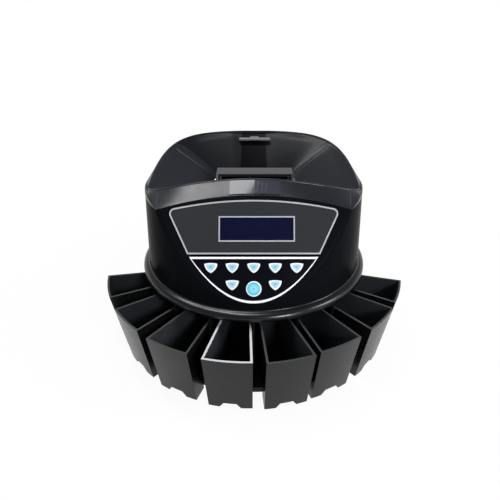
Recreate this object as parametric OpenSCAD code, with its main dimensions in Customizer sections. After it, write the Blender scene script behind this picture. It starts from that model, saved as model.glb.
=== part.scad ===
// Countertop coin sorting machine: a tapered drum with a sloping display face and an open
// hopper, on a round base, with eight coin boxes in bays around the front.
// Origin: on the table, under the middle of the whole machine. Front is -Y, +Z is up,
// millimetres.

/* [Base and lower housing] */
// Radius of the round base plate
base_r = 149; // [146:1:160]
// Height of the rubber feet, from the table to the underside of the base plate
foot_h = 6; // [4:0.5:10]
// Thickness of the base plate
base_t = 3; // [2.5:0.5:5]
// Outer radius of the rear wall of the lower housing
lower_r = 131; // [130:0.5:134]
// Wall thickness of the lower housing
lower_wall = 2.5; // [2:0.25:3.5]
// Radius of the inner wall behind the coin boxes
core_r = 88; // [84:0.5:90]
// Thickness of the dividers between the coin boxes
divider_t = 2; // [1.5:0.25:2.5]
// Distance from the axis to the flat rear wall
rear_flat = 121.5; // [120:0.5:125]

/* [Coin boxes] */
// Angle from one coin box to the next
box_pitch = 20; // [19.8:0.1:20.2]
// Half of the angle that one coin box spans
box_half = 7.75; // [7:0.25:8]
// Radius of the outer wall at the rim
box_top_r = 178; // [172:1:190]
// Radius of the outer wall at its lower edge
box_low_r = 168; // [164:1:178]
// Height of the rim above the table
box_rim_z = 73; // [66:1:74]
// Wall thickness of a coin box
box_wall = 2.2; // [1.6:0.1:3]
// Height of the notch in the foot of the outer wall
notch_h = 7.5; // [5:0.5:9]
// Width of the notch at the table
notch_w = 22; // [16:1:26]

/* [Drum and flange] */
// Height of the underside of the flange above the table
deck_z = 84.4; // [82:0.2:88]
// Thickness of the deck that carries the sorting rail
deck_t = 3; // [2.5:0.5:4]
// Outer radius of the flange at its lower edge
flange_r = 133.5; // [133:0.5:138]
// Radius of the drum at the flange
drum_low_r = 126.1; // [125.8:0.1:128]
// Radius of the drum at the shoulder
drum_top_r = 120.5; // [119.5:0.1:122]
// Height of the drum's shoulder
shoulder_z = 180; // [177:0.5:184]
// Wall thickness of the drum
drum_wall = 2.8; // [2:0.1:3.2]

/* [Display face] */
// Angle of the face from the horizontal
face_tilt = 55; // [54:0.5:56]
// Length of the face up its slope, on the centre line
face_len = 111; // [109:0.5:112]
// Radius of the arc at the top of the face
face_arc_r = 333; // [300:1:400]
// Half width of the keypad panel at its straight top edge
keypad_half = 61.4; // [60:0.1:63]
// Width of the viewing window of the screen
screen_w = 75.5; // [70:0.5:78]
// Height of the viewing window of the screen
screen_h = 25.4; // [22:0.2:28]
// Width of one shield key
key_w = 12.8; // [11:0.2:14]
// Height of one shield key
key_h = 9.9; // [9:0.1:12]
// Radius of the round start key
start_r = 7.6; // [7:0.1:8.5]
// Distance from one key of a row to the next
key_step = 21.1; // [19:0.1:22]
// Travel of a key when it is pressed
key_travel = 0.8; // [0.5:0.1:1.2]

/* [Hopper] */
// Half width of the hopper rim
rim_half = 116.2; // [114:0.1:117.5]
// Distance from the axis to the back of the rim
rim_back = 107.3; // [104:0.1:110]
// Distance from the axis to the front lip
lip_y = 49.5; // [47:0.5:52]
// Height of the front lip at the centre
lip_z = 200.2; // [198:0.2:203]
// Rise of the rim towards the back, per millimetre
rim_slope = 0.22; // [0.18:0.01:0.24]
// Half width of the throat
throat_half = 46; // [40:1:50]
// Height at which the sloping panels meet the throat
throat_z = 163; // [158:1:168]
// Height of the lower end of the throat
throat_end_z = 112; // [106:1:125]
// Wall thickness of the hopper
hopper_wall = 2.5; // [2:0.1:3]
// Half width of the feed gate's bridge
bridge_half = 37.5; // [34:0.5:40]

/* [Sorting drive] */
// Outer radius of the sorting rail
rail_r = 122.4; // [121.5:0.1:122.6]
// Radius of the flat middle of the sorting disc
disc_r = 89; // [84:0.5:92]
// Number of fingers that push the coins round
finger_count = 12; // [8:1:16]
// Radius of the disc shaft
shaft_r = 5; // [4:0.5:6]
// Radius of the pulley on the disc shaft
big_pulley_r = 32; // [28:1:36]
// Radius of the pulley on the motor
small_pulley_r = 8; // [7:0.5:10]
// Distance from the disc shaft to the motor
motor_x = 56; // [54:0.5:60]
// Radius of the motor
motor_r = 18; // [16:0.5:20]

/* [Hidden] */
$fn = 96;
gap = 0.3;          // clearance between pieces that move or lift away
fit = 0.03;         // radial clearance of a running fit
far = 400;

front_reach = 1.8;  // the boxes stand this far beyond their own radius
axis_y = (box_top_r + front_reach - base_r) / 2; // the disc's axis, behind the middle

base_z = foot_h;                       // underside of the base plate
floor_z = foot_h + base_t;             // top of the base plate
rail_z = deck_z + deck_t;              // top of the deck, seat of the rail
rail_t = 2;
disc_z = rail_z + rail_t + 0.6;        // underside of the sorting disc
disc_t = 3;
fence_top = deck_z + 12;               // top of the rail's fence
face_y = -drum_low_r - 1.4;            // the foot of the face
face_z = deck_z + 12.6;
seam_z = shoulder_z - 4.5;             // the drum wall ends here and the hopper begins
box_in_r = core_r + 2;                 // inner end of a coin box
skirt_r = base_r + 1.5;                // the box's skirt hangs outside the base from here
box_floor_z = floor_z + gap;
box_low_z = 0.6;
bay_angles = [for (i = [0:7]) (i - 3.5) * box_pitch];
// how each box happens to stand in its bay: [turn about the axis, yaw, pull outwards]
box_stand = [[-1.1, -1, -0.6], [0.6, 1.5, 0], [1.1, 1.5, 1], [0.3, 3.5, 1.5],
             [-0.6, 4, 1.5], [-0.6, -1.5, -0.6], [0.4, -2, -0.2], [-0.5, -2.5, -0.2]];
coin_d = [16.25, 18.75, 19.75, 21.25, 22.25, 23.25, 24.25, 25.75]; // smallest coin first
end_wall = 4 * box_pitch + 1;          // angle of the two end walls of the bays
end_lap = 1.2;                          // how far the walls run past them, in degrees

big_z = rail_z - 5.4;                  // pulleys and belt, just under the disc
pulley_h = 6;
plate_z = big_z - 2.2;                 // top of the motor's plate and of the bearing tower
bearing_h = 8;
bearing_r = shaft_r + 8;
tower_r = bearing_r + 4;

face_cos = cos(face_tilt);
face_sin = sin(face_tilt);
panel_t = 0.8;                         // the panels that lie on the face
key_rows = [40.7, 23.8];
key_places = [[-2 * key_step, key_rows[0]], [-key_step, key_rows[0]], [0, key_rows[0]],
              [key_step, key_rows[0]], [2 * key_step, key_rows[0]],
              [-key_step, key_rows[1]], [key_step, key_rows[1]]];
start_v = 18.3;
keypad_top = 47.7;
keypad_low = 6.5;
window_low = 53.9;
screen_c = [3, 77.5];                  // centre of the screen on the face
board_z = -9;                          // the keypad board, behind the face

rim_yc = -15;                          // the rim is a superellipse about this line
rim_n = [3, 6.2];                      // its exponent in front and behind
rim_bow = [0.161, 0.102];              // how much its sides and back are bowed behind that line
throat_front = -25;
throat_back = 64;
ring_n = 96;                           // points around one ring of the hopper
front_t = 55;                          // rings follow the face's arc up to this parameter

rear_panel = [88, 1.5, 52];
rear_panel_z = 16;
inlet_x = 20;
switch_x = -16;
port_x = -33;
inlet_z = 42;

// ---------- shapes that repeat ----------

// the pieces are drawn about the disc's axis; this moves them to the machine's origin
module placed() {
  translate([0, axis_y, 0]) children();
}

// an upright cylinder between two heights
module post(r, low, high) {
  translate([0, 0, low]) cylinder(r = r, h = high - low);
}

// an upright ring between two heights
module ring(inner, outer, low, high) {
  difference() {
    post(outer, low, high);
    post(inner, low - 1, high + 1);
  }
}

// a wedge of the round plan, pointing to -Y, its two sides moved in by inset
module wedge(half, low, high, inset = 0) {
  translate([0, -inset / sin(half), low])
    linear_extrude(high - low)
      polygon([[0, 0], [-far * sin(half), -far * cos(half)], [0, -3 * far],
               [far * sin(half), -far * cos(half)]]);
}

// part of a ring within a wedge
module sector(inner, outer, half, low, high) {
  intersection() {
    ring(inner, outer, low, high);
    wedge(half, low, high);
  }
}

// a block between two corners
module block(low, high) {
  translate(low) cube(high - low);
}

// children drawn flat on the sloping face: x across, y up the slope, z outwards
module on_face() {
  translate([0, face_y, face_z]) rotate([face_tilt, 0, 0]) children();
}

// everything in front of the face, moved out by z
module before_face(z = 0) {
  on_face() translate([-far, -far, z]) cube(2 * far);
}

// ---------- base and lower housing ----------

module base_plate() {
  color([0.05, 0.05, 0.055]) placed() union() {
    difference() {
      post(base_r, base_z, floor_z);
      for (a = [45:90:315]) rotate(a) translate([core_r - 10, 0, 0]) post(1.7, 0, far);
    }
    ring(base_r - 3, base_r, foot_h - 3.5, base_z);
    for (x = [-44, 44], y = [69.5, 25.5]) translate([x, rear_flat - y, 0]) board_post();
  }
}

// a stand-off for the main board
module board_post() {
  post(3.5, floor_z, floor_z + 9);
}

module rubber_feet() {
  color([0.03, 0.03, 0.03]) placed()
    for (a = [40:90:310]) rotate(a) translate([base_r - 16, 0, 0])
      cylinder(r1 = 8, r2 = 9, h = foot_h);
}

module base_screws() {
  color([0.6, 0.6, 0.62]) placed()
    for (a = [45:90:315]) rotate(a) translate([core_r - 10, 0, 0]) {
      post(1.5, base_z, floor_z + 8);
      post(3, base_z - 2, base_z);
    }
}

module lower_housing() {
  color([0.05, 0.05, 0.055]) placed() union() {
    difference() {
      union() {
        difference() {
          ring(lower_r - lower_wall, lower_r, floor_z, deck_z);
          wedge(end_wall - end_lap, floor_z - 1, deck_z + 1);
          block([-far, rear_flat, 0], [far, far, far]);
        }
        intersection() {
          post(lower_r - lower_wall / 2, floor_z, deck_z);
          block([-far, rear_flat - lower_wall, 0], [far, rear_flat, far]);
        }
      }
      block([4 - rear_panel.x / 2, 0, rear_panel_z + 4],
            [rear_panel.x / 2 - 4, far, rear_panel_z + rear_panel.z - 4]);
    }
    intersection() {
      ring(core_r - lower_wall, core_r, floor_z, deck_z);
      wedge(end_wall + end_lap, floor_z - 1, deck_z + 1);
    }
    for (a = [-end_wall, end_wall])
      bay_wall(a, lower_wall, core_r - lower_wall / 2, lower_r - lower_wall / 2, gap);
    for (a = [45, 135]) rotate(a) screw_boss(lower_r - lower_wall / 2);
    for (a = [225, 315]) rotate(a) screw_boss(core_r - lower_wall / 2);
  }
}

// a radial wall beside a bay, up to just under the deck
module bay_wall(a, t, inner, outer, lift) {
  rotate(a) block([-t / 2, -outer, floor_z + lift], [t / 2, -inner, deck_z - gap]);
}

// seven walls between the bays; they stand on the base
module bay_dividers() {
  color([0.05, 0.05, 0.055]) placed()
    for (a = [-3:3]) bay_wall(a * box_pitch, divider_t, core_r + 0.1, lower_r, 0);
}

// takes a base screw; a web ties it to the wall outside it
module screw_boss(wall_r) {
  x = core_r - 10;
  difference() {
    union() {
      translate([x, 0, 0]) post(4, floor_z, floor_z + 14);
      block([x, -1, floor_z], [wall_r, 1, floor_z + 14]);
    }
    translate([x, 0, 0]) post(1.7, 0, floor_z + 9);
  }
}

// the cut-outs for the inlet, the switch, the fuse and the display port
module rear_openings(grow) {
  rear_cut([inlet_x, inlet_z], [27.4, 20], grow);
  rear_cut([switch_x, inlet_z], [13, 19.4], grow);
  rear_cut([port_x, inlet_z - 6], [12, 9], grow);
  translate([port_x, 0, inlet_z + 12]) rotate([-90, 0, 0]) post(6.5 + grow, 0, far);
}

module rear_cut(centre, size, grow) {
  block([centre.x - size.x / 2 - grow, 0, centre.y - size.y / 2 - grow],
        [centre.x + size.x / 2 + grow, far, centre.y + size.y / 2 + grow]);
}

module rear_panel() {
  color([0.32, 0.33, 0.35]) placed() difference() {
    block([-rear_panel.x / 2, rear_flat, rear_panel_z],
          [rear_panel.x / 2, rear_flat + rear_panel.y, rear_panel_z + rear_panel.z]);
    rear_openings(gap);
  }
}

// mains inlet: a flanged shell with a hollow for the plug and three contacts
module power_inlet() {
  back = rear_flat + rear_panel.y;
  color([0.04, 0.04, 0.045]) placed() {
    difference() {
      union() {
        block([inlet_x - 15.5, back, inlet_z - 12], [inlet_x + 15.5, back + 2.5, inlet_z + 12]);
        block([inlet_x - 13.7, back - 22, inlet_z - 10], [inlet_x + 13.7, back, inlet_z + 10]);
      }
      block([inlet_x - 11.5, back - 16, inlet_z - 7.5], [inlet_x + 11.5, far, inlet_z + 7.5]);
    }
    for (p = [[-7, -1.5], [7, -1.5], [0, 2.5]])
      block([inlet_x + p.x - 1, back - 16, inlet_z + p.y - 2],
            [inlet_x + p.x + 1, back - 2, inlet_z + p.y + 2]);
  }
}

switch_axis_y = rear_flat + rear_panel.y - 2;

module switch_frame() {
  back = rear_flat + rear_panel.y;
  color([0.04, 0.04, 0.045]) placed() difference() {
    union() {
      block([switch_x - 7.5, back, inlet_z - 10.5], [switch_x + 7.5, back + 1.5, inlet_z + 10.5]);
      block([switch_x - 6.5, back - 14, inlet_z - 9.7], [switch_x + 6.5, back, inlet_z + 9.7]);
    }
    block([switch_x - 5.3, back - 11, inlet_z - 8.6], [switch_x + 5.3, far, inlet_z + 8.6]);
  }
}

// the rocker tips about a level axis across its middle
module power_switch() {
  color([0.05, 0.05, 0.05]) placed()
    translate([switch_x, switch_axis_y, inlet_z]) rotate([90, 0, 90])
      linear_extrude(10, center = true)
        polygon([[-4, -7], [2.2, -7.6], [3.4, 0], [4.8, 7.4], [-4, 7]]);
}

module fuse_holder() {
  back = rear_flat + rear_panel.y;
  color([0.05, 0.05, 0.05]) placed() translate([port_x, 0, inlet_z + 12]) rotate([-90, 0, 0]) {
    post(8, back, back + 2);
    difference() {
      post(6.4, back + 2, back + 9);
      block([-5, -0.8, back + 7.5], [5, 0.8, back + 10]);
    }
    post(6.5, back - 20, back);
  }
}

module display_port() {
  back = rear_flat + rear_panel.y;
  color([0.7, 0.7, 0.72]) placed() difference() {
    block([port_x - 6, back - 16, inlet_z - 10.5], [port_x + 6, back + 1, inlet_z - 1.5]);
    block([port_x - 4.6, back - 12, inlet_z - 9.3], [port_x + 4.6, far, inlet_z - 2.7]);
  }
}

// ---------- sorting parts ----------

// the deck carries the rail; one chute under each slot leads the coins into its box
module chute_deck() {
  color([0.16, 0.17, 0.18]) placed() difference() {
    union() {
      ring(core_r - lower_wall, flange_r - 3.9, deck_z, rail_z);
      for (a = bay_angles) rotate(a)
        sector(core_r + 3, rail_r - 2, box_half - 0.7, box_rim_z + 2, rail_z);
    }
    for (a = bay_angles) rotate(a) intersection() {
      ring(core_r + 4.5, rail_r - 3.5, 0, far);
      wedge(box_half - 0.7, 0, far, 1.5);
    }
  }
}

// the track that the coins roll on; each slot is as wide as one kind of coin
module sorting_rail() {
  color([0.62, 0.64, 0.66]) placed() difference() {
    union() {
      ring(disc_r + 0.5, rail_r, rail_z, rail_z + rail_t);
      ring(rail_r - 2, rail_r, rail_z, fence_top);
    }
    for (i = [0:7]) rotate(bay_angles[i])
      sector(rail_r - 4 - coin_d[i], rail_r - 4, box_half - 2.2, 0, far);
  }
}

// a light gate under each slot counts the coins
module coin_sensors() {
  color([0.1, 0.22, 0.14]) placed()
    for (a = bay_angles) rotate(a)
      block([-6, -rail_r - 3.2, deck_z - 7], [6, -rail_r + 1.2, deck_z]);
}

module sorting_disc() {
  color([0.75, 0.76, 0.78]) placed() difference() {
    union() {
      post(disc_r, disc_z, disc_z + disc_t);
      post(14, disc_z, disc_z + disc_t + 4);
      for (i = [0:finger_count - 1]) rotate(i * 360 / finger_count)
        block([-2, -rail_r + 4, disc_z], [2, -disc_r + 3, disc_z + disc_t]);
      for (i = [0:5]) rotate(i * 60)
        block([-1.5, -disc_r + 8, disc_z], [1.5, -13, disc_z + disc_t + 2]);
    }
    post(shaft_r + 0.02, 0, far);
  }
}

module disc_hub_nut() {
  top = disc_z + disc_t + 4;
  color([0.1, 0.1, 0.1]) placed() difference() {
    union() {
      post(11, top, top + 3);
      translate([0, 0, top + 3]) cylinder(r1 = 9, r2 = 6, h = 4);
    }
    post(shaft_r + 0.02, 0, top + 5);
  }
}

module disc_shaft() {
  color([0.7, 0.71, 0.73]) placed() post(shaft_r, floor_z + 3.5, disc_z + disc_t + 8.5);
}

// a grooved pulley
module pulley(r, bore, low) {
  difference() {
    union() {
      post(r, low, low + pulley_h);
      for (z = [low, low + pulley_h - 1]) post(r + 2, z, z + 1);
    }
    post(bore, 0, far);
  }
}

module disc_pulley() {
  color([0.12, 0.12, 0.13]) placed() union() {
    pulley(big_pulley_r, shaft_r + 0.02, big_z);
    ring(shaft_r + 0.02, 9, big_z + pulley_h, disc_z);
  }
}

module bearing(low) {
  color([0.6, 0.61, 0.63]) placed() ring(shaft_r + fit, bearing_r, low, low + bearing_h);
}

module upper_bearing() {
  bearing(plate_z - bearing_h - 1);
}

module lower_bearing() {
  bearing(floor_z + 3.5);
}

module bearing_tower() {
  color([0.5, 0.52, 0.55]) placed() difference() {
    union() {
      post(34, floor_z, floor_z + 3);
      post(tower_r, floor_z, plate_z - 1);
      for (a = [45:90:315]) rotate(a)
        block([tower_r - 2, -1.5, floor_z], [32, 1.5, floor_z + 24]);
    }
    post(shaft_r + 2, floor_z - 1, far);
    post(bearing_r, floor_z + 3.5, floor_z + 3.5 + bearing_h);
    post(bearing_r - 2, floor_z + 3.5, plate_z - 5);
    post(bearing_r, plate_z - 1 - bearing_h, far);
  }
}

// the belt round both pulleys
module drive_belt() {
  color([0.06, 0.06, 0.06]) placed() translate([0, 0, big_z + 1 + gap])
    linear_extrude(pulley_h - 2 - 2 * gap) difference() {
      belt_loop(gap + 1.4);
      belt_loop(gap);
    }
}

module belt_loop(grow) {
  hull() {
    circle(big_pulley_r + grow);
    translate([-motor_x, 0]) circle(small_pulley_r + grow);
  }
}

module at_motor() {
  translate([-motor_x, 0, 0]) children();
}

module motor_pulley() {
  color([0.12, 0.12, 0.13]) placed() at_motor() pulley(small_pulley_r, 3.02, big_z);
}

module motor_shaft() {
  color([0.7, 0.71, 0.73]) placed() at_motor() post(3, plate_z - 8, big_z + pulley_h + 0.5);
}

module drive_motor() {
  color([0.55, 0.56, 0.58]) placed() at_motor() difference() {
    union() {
      post(motor_r, plate_z - 58, plate_z - 14);
      post(motor_r + 2, plate_z - 14, plate_z - 2.5);
      post(6, plate_z - 66, plate_z - 58);
      post(7, plate_z - 2.5, plate_z - 0.5);
    }
    post(3 + fit, plate_z - 8.5, far);
  }
}

module motor_bracket() {
  color([0.45, 0.46, 0.48]) placed() at_motor() union() {
    difference() {
      block([-motor_r - 6, -motor_r - 10, plate_z - 2.5],
            [motor_r + 4, motor_r + 10, plate_z - 0.5]);
      post(7 + gap, 0, far);
    }
    for (s = [-1, 1]) {
      block([-8, s * (motor_r + 8) - 2, floor_z], [8, s * (motor_r + 8) + 2, plate_z - 2.5]);
      block([-8, s * (motor_r + 11) - 5, floor_z], [8, s * (motor_r + 11) + 5, floor_z + 2]);
    }
  }
}

// the control board on its stand-offs, with its tallest parts
module main_board() {
  z = floor_z + 9;
  y = rear_flat - 17.5;
  color([0.05, 0.3, 0.16]) placed() union() {
    block([-50, y - 60, z], [50, y, z + 1.6]);
    block([-16, y - 42, z + 1.6], [8, y - 18, z + 4.6]);
    block([16, y - 48, z + 1.6], [32, y - 32, z + 17]);
    for (x = [-40, -28, 41]) translate([x, y - 32, 0]) post(5, z + 1.6, z + 17);
    block([-38, y - 12, z + 1.6], [12, y - 5, z + 11]);
  }
}

module power_supply() {
  color([0.62, 0.62, 0.6]) placed() union() {
    block([27, -30, floor_z + 4], [72, 30, floor_z + 44]);
    for (s = [-1, 1]) block([34, s * 30 - 5, floor_z], [66, s * 30 + 5, floor_z + 4]);
    for (s = [-1, 1]) block([38, s * 30 - 6, floor_z + 12], [62, s * 30 + 6, floor_z + 36]);
  }
}

// ---------- upper housing and face ----------

// radius of the drum's outside at a height
function drum_r(z) = drum_low_r + (drum_top_r - drum_low_r)
  * (z - deck_z - 7.2) / (shoulder_z - deck_z - 7.2);

// the turned outline of the drum and its flange, moved in by t
module drum_outline(t) {
  top = shoulder_z + 12;
  polygon([[0, deck_z - 1], [flange_r - t, deck_z - 1], [flange_r - t, deck_z + 0.6],
           [flange_r - 0.5 - t, deck_z + 2.8], [flange_r - 1.8 - t, deck_z + 4.6],
           [flange_r - 3.6 - t, deck_z + 5.8], [drum_low_r - t, deck_z + 7.2],
           [drum_r(top) - t, top], [0, top]]);
}

// the face's plan, bounded at the top by an arc
module face_arc(grow = 0) {
  translate([0, face_len - face_arc_r]) circle(face_arc_r + grow, $fn = 360);
}

module upper_housing() {
  color([0.035, 0.035, 0.042]) placed() union() {
    difference() {
      rotate_extrude($fn = 180) drum_outline(0);
      rotate_extrude($fn = 180) intersection() {
        drum_outline(drum_wall);
        translate([0, deck_z - 2]) square([far, far]);
      }
      before_face();
      post(far, 0, deck_z);
      post(far, seam_z, far);
    }
    difference() {
      intersection() {
        rotate_extrude($fn = 180) drum_outline(0.01);
        on_face() translate([0, 0, -drum_wall]) linear_extrude(drum_wall) face_arc();
      }
      face_holes();
      post(far, 0, deck_z + 10.5);
    }
    ring(rail_r + 0.6, flange_r - 2.5, rail_z, rail_z + 2);
    intersection() {
      rotate_extrude($fn = 180) drum_outline(0.01);
      for (p = [[-48, 30], [48, 30], [-52, 46], [52, 46]]) board_boss(p.x, p.y);
    }
  }
}

// carries the keypad board behind the face
module board_boss(x, v) {
  on_face() translate([x, v, 0]) post(2.5, board_z, -drum_wall + 0.5);
}

// openings in the face for the screen and the keys
module face_holes() {
  on_face() {
    translate([screen_c.x, screen_c.y, -50])
      linear_extrude(100) square([screen_w + 8, screen_h + 8], center = true);
    translate([0, 0, -50]) linear_extrude(100) key_holes();
  }
}

// the outline of a shield key: an arched top edge and two sides that taper to a rounded tip
module shield(w, h) {
  side = [for (i = [0:12]) let (s = i / 12)
    [w / 2 * pow(1 - s * s, 0.8), h * (0.24 - 0.94 * s)]];
  top = [for (i = [1:7]) let (s = i / 8) [w / 2 * (1 - 2 * s), h * 0.24 + h * 0.06 * sin(180 * s)]];
  left = [for (i = [11:-1:0]) [-side[i].x, side[i].y]];
  polygon(concat(side, left, [for (i = [6:-1:0]) top[i]]));
}

// the outlines of all keys, wider by a clearance
module key_holes() {
  for (p = key_places) translate(p) shield(key_w + 2 * gap, key_h + 2 * gap);
  translate([0, start_v]) circle(start_r + gap);
}

// outline of the keypad: a straight top and a rounded V below it
module keypad_outline(grow = 0) {
  n = 24;
  half = keypad_half + grow;
  low = keypad_low - grow;
  top = keypad_top + 0.88 * grow;
  polygon([for (i = [-n:n]) let (s = i / n)
    [half * s, low + (top - low) * pow(abs(s), 2.05)]]);
}

// outline of the display window: sides that lean out, an arched top with rounded corners
module window_outline(grow = 0) {
  offset(delta = grow) {
    offset(r = 4, $fn = 32) offset(delta = -4) window_shape();
    intersection() {
      window_shape();
      translate([-far, 0]) square([2 * far, window_low + 12]);
    }
  }
}

module window_shape() {
  arc_r = 378.9;
  intersection() {
    polygon([[-64.6, window_low], [64.6, window_low], [82.3, 92], [82.3, 110], [-82.3, 110],
             [-82.3, 92]]);
    translate([0, 105 - arc_r]) circle(arc_r, $fn = 360);
  }
}

module display_window() {
  color([0.05, 0.055, 0.06]) placed() on_face() linear_extrude(panel_t) difference() {
    window_outline();
    translate(screen_c) square([screen_w, screen_h], center = true);
  }
}

// a light grey line round the window
module window_trim() {
  color([0.72, 0.73, 0.75]) placed() on_face() linear_extrude(panel_t + 0.2) difference() {
    window_outline(1.5);
    window_outline();
  }
}

module screen_frame() {
  color([0.6, 0.62, 0.66]) placed() on_face() translate([0, 0, panel_t]) linear_extrude(0.3) difference() {
    translate(screen_c) square([screen_w, screen_h], center = true);
    translate(screen_c) square([screen_w - 2.6, screen_h - 2.6], center = true);
  }
}

module lcd_module() {
  color([0.05, 0.06, 0.16]) placed() on_face() translate([screen_c.x, screen_c.y, 0]) {
    linear_extrude(panel_t) square([screen_w, screen_h], center = true);
    translate([0, 0, -drum_wall]) linear_extrude(drum_wall)
      square([screen_w + 7, screen_h + 7], center = true);
    translate([0, 0, -drum_wall - 6]) linear_extrude(6) square([98, 46], center = true);
    translate([0, 0, -drum_wall - 7.6]) linear_extrude(1.6) square([98, 50], center = true);
  }
}

module keypad_panel() {
  color([0.02, 0.02, 0.025]) placed() on_face() linear_extrude(panel_t) difference() {
    keypad_outline();
    key_holes();
  }
}

// a white line round the keypad
module keypad_trim() {
  color([0.9, 0.92, 0.94]) placed() on_face() linear_extrude(panel_t + 0.2) difference() {
    keypad_outline(2.3);
    keypad_outline();
  }
}

module keypad_board() {
  color([0.05, 0.3, 0.16]) placed() on_face() difference() {
    translate([0, 0, board_z - 1.6]) linear_extrude(1.6)
      polygon([[-56, 49], [-56, 26], [-22, 7], [22, 7], [56, 26], [56, 49]]);
  }
}

// a key: its cap stands out of the panel and its stem reaches for the board
module shield_key(i) {
  color([0.66, 0.86, 0.95]) placed() on_face() translate(key_places[i]) union() {
    translate([0, 0, -drum_wall]) linear_extrude(drum_wall + panel_t + 1)
      shield(key_w, key_h);
    post(2, board_z + key_travel + gap, -drum_wall);
  }
}

module key_1() { shield_key(0); }
module key_2() { shield_key(1); }
module key_3() { shield_key(2); }
module key_4() { shield_key(3); }
module key_5() { shield_key(4); }
module key_6() { shield_key(5); }
module key_7() { shield_key(6); }

module start_key() {
  color([0.1, 0.72, 0.88]) placed() on_face() translate([0, start_v, 0]) union() {
    post(start_r, -drum_wall, panel_t + 1);
    post(3, board_z + key_travel + gap, -drum_wall);
  }
}

// ---------- hopper ----------

function signed_power(v, p) = sign(v) * pow(abs(v), p);

// t runs once round the hopper from the middle of the front lip; short folds it to -180..180
function short(t) = t > 180 ? t - 360 : t;

// a superellipse in plan about a centre line
function superellipse(t, half, front, back, yc, n) =
  [half * signed_power(sin(t), 2 / n),
   yc + (cos(t) > 0 ? -front : back) * pow(abs(cos(t)), 2 / n)];

function rim_xy(t, inset = 0) =
  let (half = rim_half - inset, back = rim_back - rim_yc - inset, behind = cos(t) < 0,
       p = superellipse(t, half, lip_y + rim_yc - inset, back, rim_yc, rim_n[behind ? 1 : 0]),
       u = p.x / half, v = (p.y - rim_yc) / back)
  behind ? [p.x * (1 - rim_bow.x * v * v), rim_yc + (p.y - rim_yc) * (1 - rim_bow.y * u * u)] : p;

// the lip falls away from the centre; behind it the rim climbs to the back
function rim_height(p) = max(p.y < rim_yc ? lip_z - lip_drop * p.x * p.x : 0,
  shoulder_z + rim_slope * (p.y + lip_y / 2));
lip_drop = (lip_z - shoulder_z) / (rim_half * rim_half);

// a point of the face's top arc at x, raised by up
function arc_point(x, up) =
  let (v = face_len + up - face_arc_r + sqrt(face_arc_r * face_arc_r - x * x))
  [x, face_y + v * face_cos, face_z + v * face_sin];

// the foot of the hopper's outer skirt: on the face's arc in front, on the drum elsewhere
foot_x = 97;
foot_angle = asin(foot_x / drum_r(seam_z));
function foot_turn(t) = let (a = abs(t))
  a < 90 ? foot_angle + (a - front_t) * (90 - foot_angle) / (90 - front_t) : a;
function foot_point(t, inset) = let (s = short(t))
  abs(s) <= front_t
    ? arc_point(foot_x * rim_xy(s).x / rim_xy(front_t).x, gap) + [0, inset, 0]
    : let (r = drum_r(seam_z) + 0.1 - inset)
      [r * sin(foot_turn(s)) * sign(s), -r * cos(foot_turn(s)), seam_z + gap];

// the shoulder: straight above the foot at the sides and back, a little up the band in front
function shoulder_point(t, inset) = let (s = short(t), a = abs(s), f = foot_point(t, inset),
    k = min(1, max(0, (a - front_t) / 12)), u = rim_point(t, inset))
  a <= front_t ? f + 0.12 * (u - f)
    : let (r = drum_top_r - inset, z = seam_z + gap + k * (shoulder_z - seam_z))
      [r * sin(foot_turn(s)) * sign(s), -r * cos(foot_turn(s)), z];

function rim_point(t, inset) = let (p = rim_xy(t, inset)) [p.x, p.y, rim_height(rim_xy(t))];

function throat_point(t, z, inset) =
  let (p = superellipse(t, throat_half - inset, (throat_back - throat_front) / 2 - inset,
       (throat_back - throat_front) / 2 - inset, (throat_back + throat_front) / 2, 5))
  [p.x, p.y, z];

// the rings of the shell, from the outer foot over the rim, down the throat and back
function ring_point(k, t) = let (w = hopper_wall)
  k == 0 ? foot_point(t, 0)
  : k == 1 ? shoulder_point(t, 0)
  : k == 2 ? rim_point(t, 0) - [0, 0, 0.8]
  : k == 3 ? rim_point(t, 1)
  : k == 4 ? rim_point(t, w + 0.6) - [0, 0, 0.6]
  : k == 5 ? throat_point(t, throat_z, 0)
  : k == 6 ? throat_point(t, throat_end_z, 3)
  : k == 7 ? throat_point(t, throat_end_z, 3 - w)
  : k == 8 ? throat_point(t, throat_z - 1, -w)
  : k == 9 ? rim_point(t, w + 2.4) - [0, 0, 4.5]
  : k == 10 ? rim_point(t, w + 0.4) - [0, 0, 4]
  : k == 11 ? shoulder_point(t, w)
  : foot_point(t, w);

// a closed tube through rings of points: the last ring joins the first
module ring_shell(rings, n) {
  points = [for (k = [0:rings - 1], i = [0:n - 1]) ring_point(k, 360 * i / n)];
  faces = [for (k = [0:rings - 1], i = [0:n - 1])
    let (a = k * n + i, b = k * n + (i + 1) % n,
         c = ((k + 1) % rings) * n + (i + 1) % n, d = ((k + 1) % rings) * n + i)
    each [[a, c, b], [a, d, c]]];
  polyhedron(points, faces, convexity = 6);
}

back_lean = atan2(rim_height(rim_xy(180)) - throat_z, rim_back - hopper_wall - throat_back);
tab_z = 203;
tab_half = 20;
tab_x = 1;

module hopper() {
  color([0.05, 0.05, 0.06]) placed() difference() {
    ring_shell(13, ring_n);
    block([tab_x - 6 - gap, 80, tab_z - 3 - gap], [tab_x + 6 + gap, rim_back - 5, tab_z + gap]);
  }
}

// a blank plate that follows the band of the front lip
function band_point(x, s, up) =
  let (low = arc_point(x, gap), top = [x, -lip_y + 0.02 * abs(x), lip_z - 0.8 - lip_drop * x * x],
       p = low + s * (top - low), n = [0, -sin(band_lean), cos(band_lean)])
  p + up * n;
band_lean = atan2(lip_z - 0.8 - arc_point(0, gap).z, -lip_y - arc_point(0, gap).y);

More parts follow.
